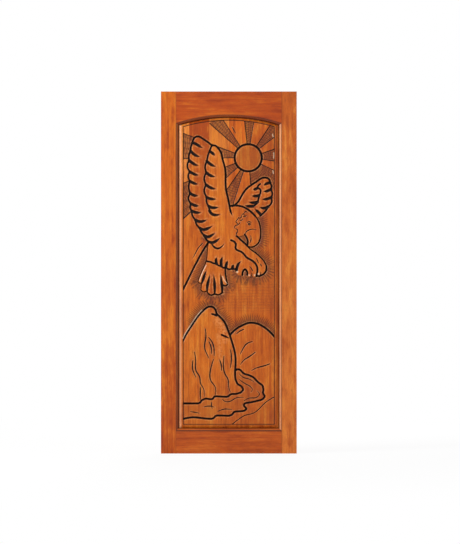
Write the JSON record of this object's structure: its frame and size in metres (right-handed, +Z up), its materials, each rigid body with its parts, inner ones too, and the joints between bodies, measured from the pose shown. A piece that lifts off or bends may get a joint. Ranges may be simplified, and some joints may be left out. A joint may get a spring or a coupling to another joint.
{
  "type": "carved panel door leaf",
  "caption": "Wooden stile-and-rail door leaf with an arched top rail and one raised panel carved in relief with a bird of prey, sun, mountains and a stream.",
  "frame": {"origin": "middle of the leaf's bottom edge, halfway through its thickness", "axes": "+Z up the leaf, +X to the right as the carved front is seen, carved front towards -Y"},
  "size_m": [0.762, 0.0446, 2.032],
  "materials": {
    "left_stile_wood": "gloss varnish over stained wood",
    "right_stile_wood": "gloss varnish over stained wood",
    "top_rail_wood": "gloss varnish over stained wood",
    "bottom_rail_wood": "gloss varnish over stained wood",
    "tan_board": "gloss varnish over stained wood",
    "red_board": "gloss varnish over stained wood",
    "yellow_board": "gloss varnish over stained wood",
    "orange_board": "gloss varnish over stained wood",
    "brown_board": "gloss varnish over stained wood",
    "edge_board": "gloss varnish over stained wood",
    "tenon_wood": "plain unfinished wood"
  },
  "bodies": {
    "root": {"left_stile": "left_stile_wood", "right_stile": "right_stile_wood", "top_rail": "top_rail_wood", "bottom_rail": "bottom_rail_wood", "panel_board_1": "tan_board", "panel_board_2": "red_board", "panel_board_3": "yellow_board", "panel_board_4": "orange_board", "panel_board_5": "brown_board", "panel_board_6": "edge_board", "bottom_left_tenon_1": "tenon_wood", "bottom_left_tenon_2": "tenon_wood", "bottom_right_tenon_1": "tenon_wood", "bottom_right_tenon_2": "tenon_wood", "top_left_tenon_1": "tenon_wood", "top_left_tenon_2": "tenon_wood", "top_right_tenon_1": "tenon_wood", "top_right_tenon_2": "tenon_wood"}
  },
  "joints": []
}
